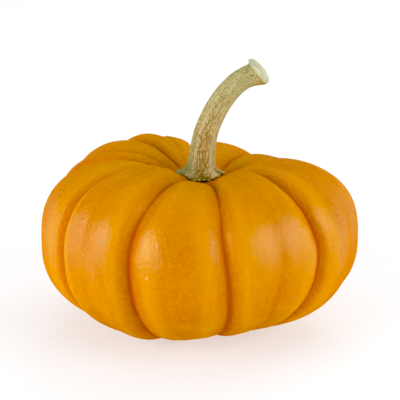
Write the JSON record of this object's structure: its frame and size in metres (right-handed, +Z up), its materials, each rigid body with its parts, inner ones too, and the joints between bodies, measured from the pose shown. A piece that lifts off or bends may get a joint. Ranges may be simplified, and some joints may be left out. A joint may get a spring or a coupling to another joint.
{
  "type": "miniature pumpkin",
  "caption": "Squat ribbed orange miniature pumpkin with a curved dry stem, standing on a small flat spot",
  "frame": {"origin": "middle of the flat spot that the pumpkin stands on, under the fruit's own axis", "axes": "+Z up along the fruit's axis, -Y out of the side seen in the picture, +X to that view's right, the way the stem bends"},
  "size_m": [0.0978, 0.0909, 0.084],
  "materials": {
    "skin": "waxy orange rind with a soft sheen, darker in the furrows",
    "dry_stem": "dry tan stalk, ridged and finely warted, greenish at its foot and pale at its cut end"
  },
  "bodies": {
    "root": {"fruit": "skin", "stem": "dry_stem"}
  },
  "joints": []
}
